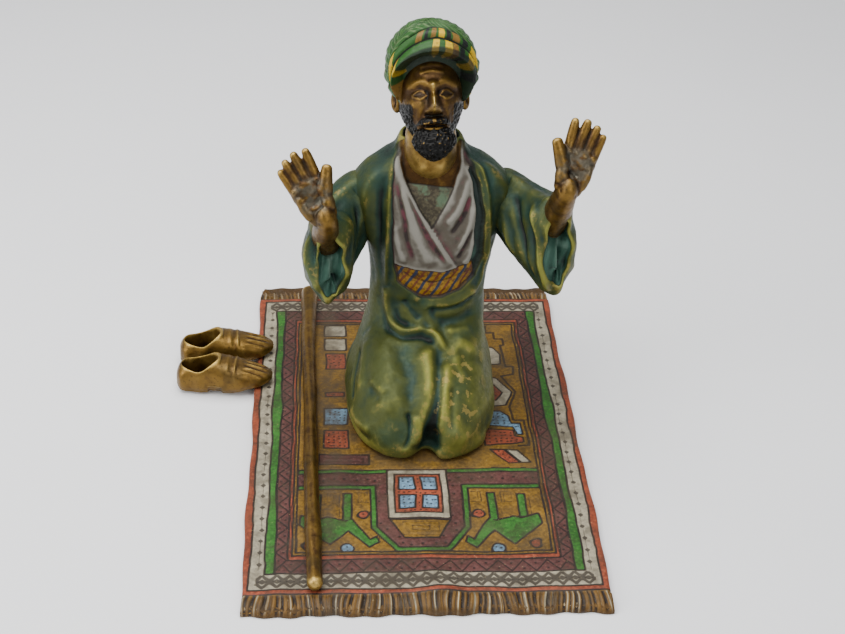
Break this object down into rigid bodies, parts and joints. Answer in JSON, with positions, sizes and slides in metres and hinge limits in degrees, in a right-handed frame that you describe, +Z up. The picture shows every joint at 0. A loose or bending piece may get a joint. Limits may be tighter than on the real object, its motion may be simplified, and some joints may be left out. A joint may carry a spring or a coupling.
{
  "type": "bronze statuette",
  "caption": "Cold-painted bronze statuette of a robed man kneeling in prayer with raised hands on a small carpet, his staff and slippers beside him.",
  "frame": {"origin": "middle of the whole object's footprint, on the surface it stands on", "axes": "+Z up, -Y the way the man faces, +X to his left; the slippers lie on the -X side"},
  "size_m": [0.1438, 0.178, 0.1447],
  "materials": {
    "robe_paint": "metallic green cold paint over bronze, olive on the folds and teal in the hollows",
    "turban_paint": "green cold paint with a yellow, black and tan checked band",
    "carpet_paint": "many-coloured matt cold paint in an engraved carpet pattern",
    "skin_bronze": "golden-brown patinated bronze, dark in the hollows",
    "slipper_bronze": "golden-brown patinated bronze with dark pits",
    "staff_bronze": "brown patinated bronze, worn golden on top",
    "brass_pin": "drawn brass wire, peened",
    "steel_screw": "turned steel, dulled"
  },
  "bodies": {
    "root": {"carpet": "carpet_paint", "staff": "staff_bronze", "staff_pin_near": "brass_pin", "staff_pin_far": "brass_pin", "slipper_near": "slipper_bronze", "slipper_far": "slipper_bronze", "slipper_pin_near": "brass_pin", "slipper_pin_far": "brass_pin", "robed_body": "robe_paint", "head": "skin_bronze", "turban": "turban_paint", "turban_stud": "brass_pin", "neck_pin": "brass_pin", "sleeve_right": "robe_paint", "sleeve_left": "robe_paint", "hand_right": "skin_bronze", "hand_left": "skin_bronze", "foot_right": "skin_bronze", "foot_left": "skin_bronze", "body_screw_right": "steel_screw", "body_screw_left": "steel_screw", "sleeve_pin_right": "brass_pin", "sleeve_pin_left": "brass_pin", "arm_pin_right": "brass_pin", "arm_pin_left": "brass_pin"}
  },
  "joints": []
}
